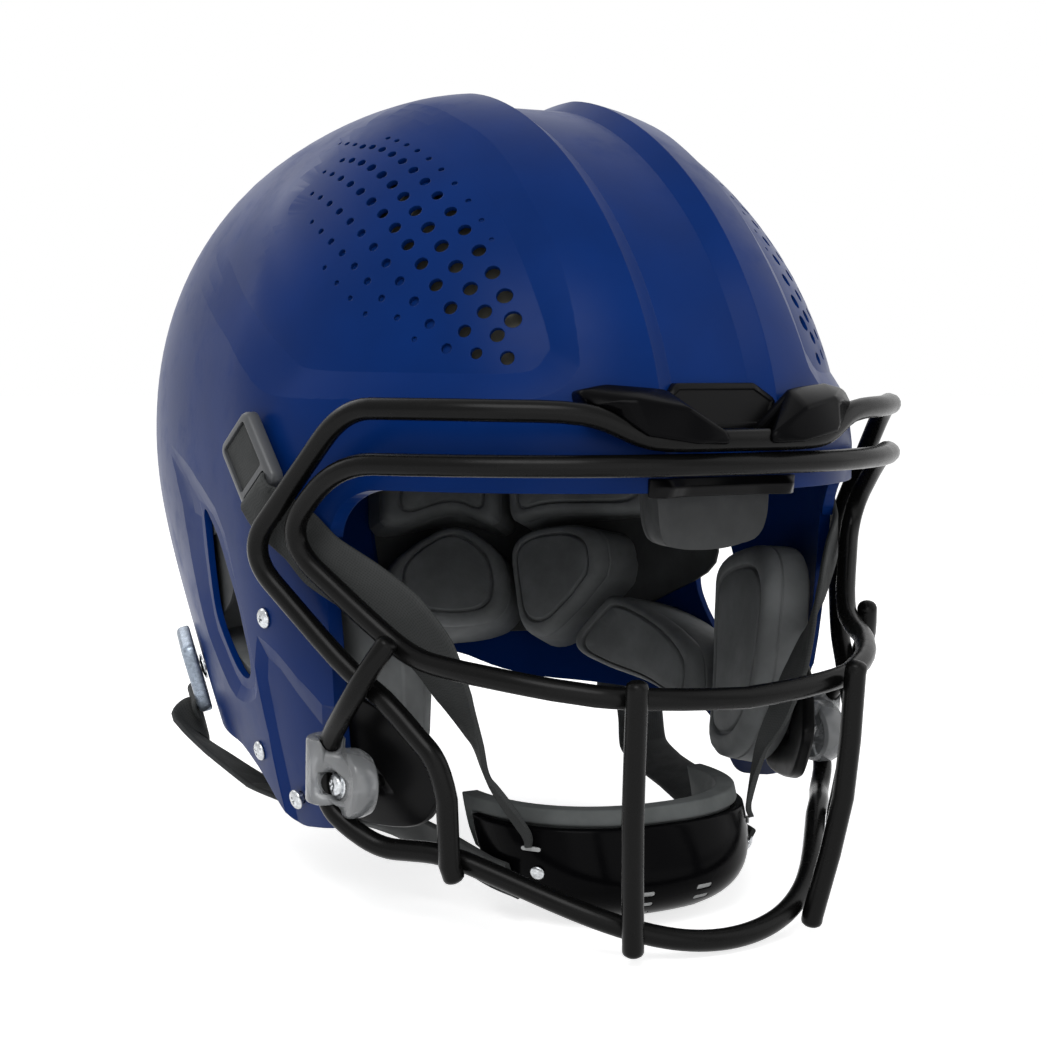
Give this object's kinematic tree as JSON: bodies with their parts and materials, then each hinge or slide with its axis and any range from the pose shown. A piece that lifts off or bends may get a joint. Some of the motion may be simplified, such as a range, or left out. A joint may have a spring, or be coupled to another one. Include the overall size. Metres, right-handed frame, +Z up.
{
  "type": "american football helmet",
  "caption": "Full-size football helmet: vented hard shell with impact pads, three-wire face mask, chin cup on four snap straps.",
  "frame": {"origin": "on the ground, under the middle of the whole helmet", "axes": "+Z up, -Y the way the wearer faces, +X the wearer's left"},
  "size_m": [0.2506, 0.3369, 0.2898],
  "materials": {
    "shell": "painted, glossy",
    "pad": "matte skin over foam",
    "strap": "woven web",
    "steel": "plated",
    "clip": "smoke-tinted, clear",
    "wire": "black coating over steel wire",
    "cup": "gloss black",
    "trim": "satin black"
  },
  "bodies": {
    "helmet": {"brow_lip": "trim", "brow_plate": "trim", "crown_pad": "pad", "flap_screw_left": "steel", "flap_screw_right": "steel", "front_clip_left": "trim", "front_clip_right": "trim", "front_pad": "pad", "jaw_bracket_left": "trim", "jaw_bracket_right": "trim", "jaw_pad_left": "pad", "jaw_pad_right": "pad", "jaw_screw_left": "steel", "jaw_screw_right": "steel", "lower_snap_stud_left": "steel", "lower_snap_stud_right": "steel", "lower_strap_left": "strap", "lower_strap_right": "strap", "lower_strap_tail_left": "strap", "lower_strap_tail_right": "strap", "mask_chin_wire": "wire", "mask_eye_wire": "wire", "mask_top_wire": "wire", "mask_upright_left": "wire", "mask_upright_right": "wire", "rear_bumper": "trim", "rear_pad_left": "pad", "rear_pad_right": "pad", "shell": "shell", "side_clip_left": "clip", "side_clip_right": "clip", "side_clip_screw_left": "steel", "side_clip_screw_right": "steel", "side_pad_left": "pad", "side_pad_right": "pad", "side_rear_pad_left": "pad", "side_rear_pad_right": "pad", "slot_screw_left": "steel", "slot_screw_right": "steel", "upper_rear_pad_left": "pad", "upper_rear_pad_right": "pad", "upper_side_pad_left": "pad", "upper_side_pad_right": "pad", "upper_snap_stud_left": "steel", "upper_snap_stud_right": "steel", "upper_strap_left": "strap", "upper_strap_right": "strap", "upper_strap_tail_left": "strap", "upper_strap_tail_right": "strap"},
    "chin_cup": {"chin_cup": "cup", "chin_cup_pad": "pad", "cup_rivet_left": "steel", "cup_rivet_right": "steel"},
    "upper_buckle_left": {"upper_snap_buckle_left": "steel"},
    "upper_buckle_right": {"upper_snap_buckle_right": "steel"},
    "lower_buckle_left": {"lower_snap_buckle_left": "steel"},
    "lower_buckle_right": {"lower_snap_buckle_right": "steel"}
  },
  "joints": [
    {"name": "chin_cup_swing", "type": "hinge", "parent": "helmet", "child": "chin_cup", "pos_m": [0, -0.04, 0.157], "axis": [1, 0, 0], "range_deg": [-9, 6], "deforming": ["upper_strap_left", "upper_strap_right", "lower_strap_left", "lower_strap_right"]},
    {"name": "upper_snap_left", "type": "slide", "parent": "helmet", "child": "upper_buckle_left", "axis": [0.9881, -0.1536, -0.01], "range_m": [0, 0.006], "deforming": ["upper_strap_tail_left"]},
    {"name": "upper_snap_right", "type": "slide", "parent": "helmet", "child": "upper_buckle_right", "axis": [-0.9881, -0.1536, -0.01], "range_m": [0, 0.006], "deforming": ["upper_strap_tail_right"]},
    {"name": "lower_snap_left", "type": "slide", "parent": "helmet", "child": "lower_buckle_left", "axis": [0.9154, 0.3028, -0.2652], "range_m": [0, 0.006], "deforming": ["lower_strap_tail_left"]},
    {"name": "lower_snap_right", "type": "slide", "parent": "helmet", "child": "lower_buckle_right", "axis": [-0.9154, 0.3028, -0.2652], "range_m": [0, 0.006], "deforming": ["lower_strap_tail_right"]}
  ]
}
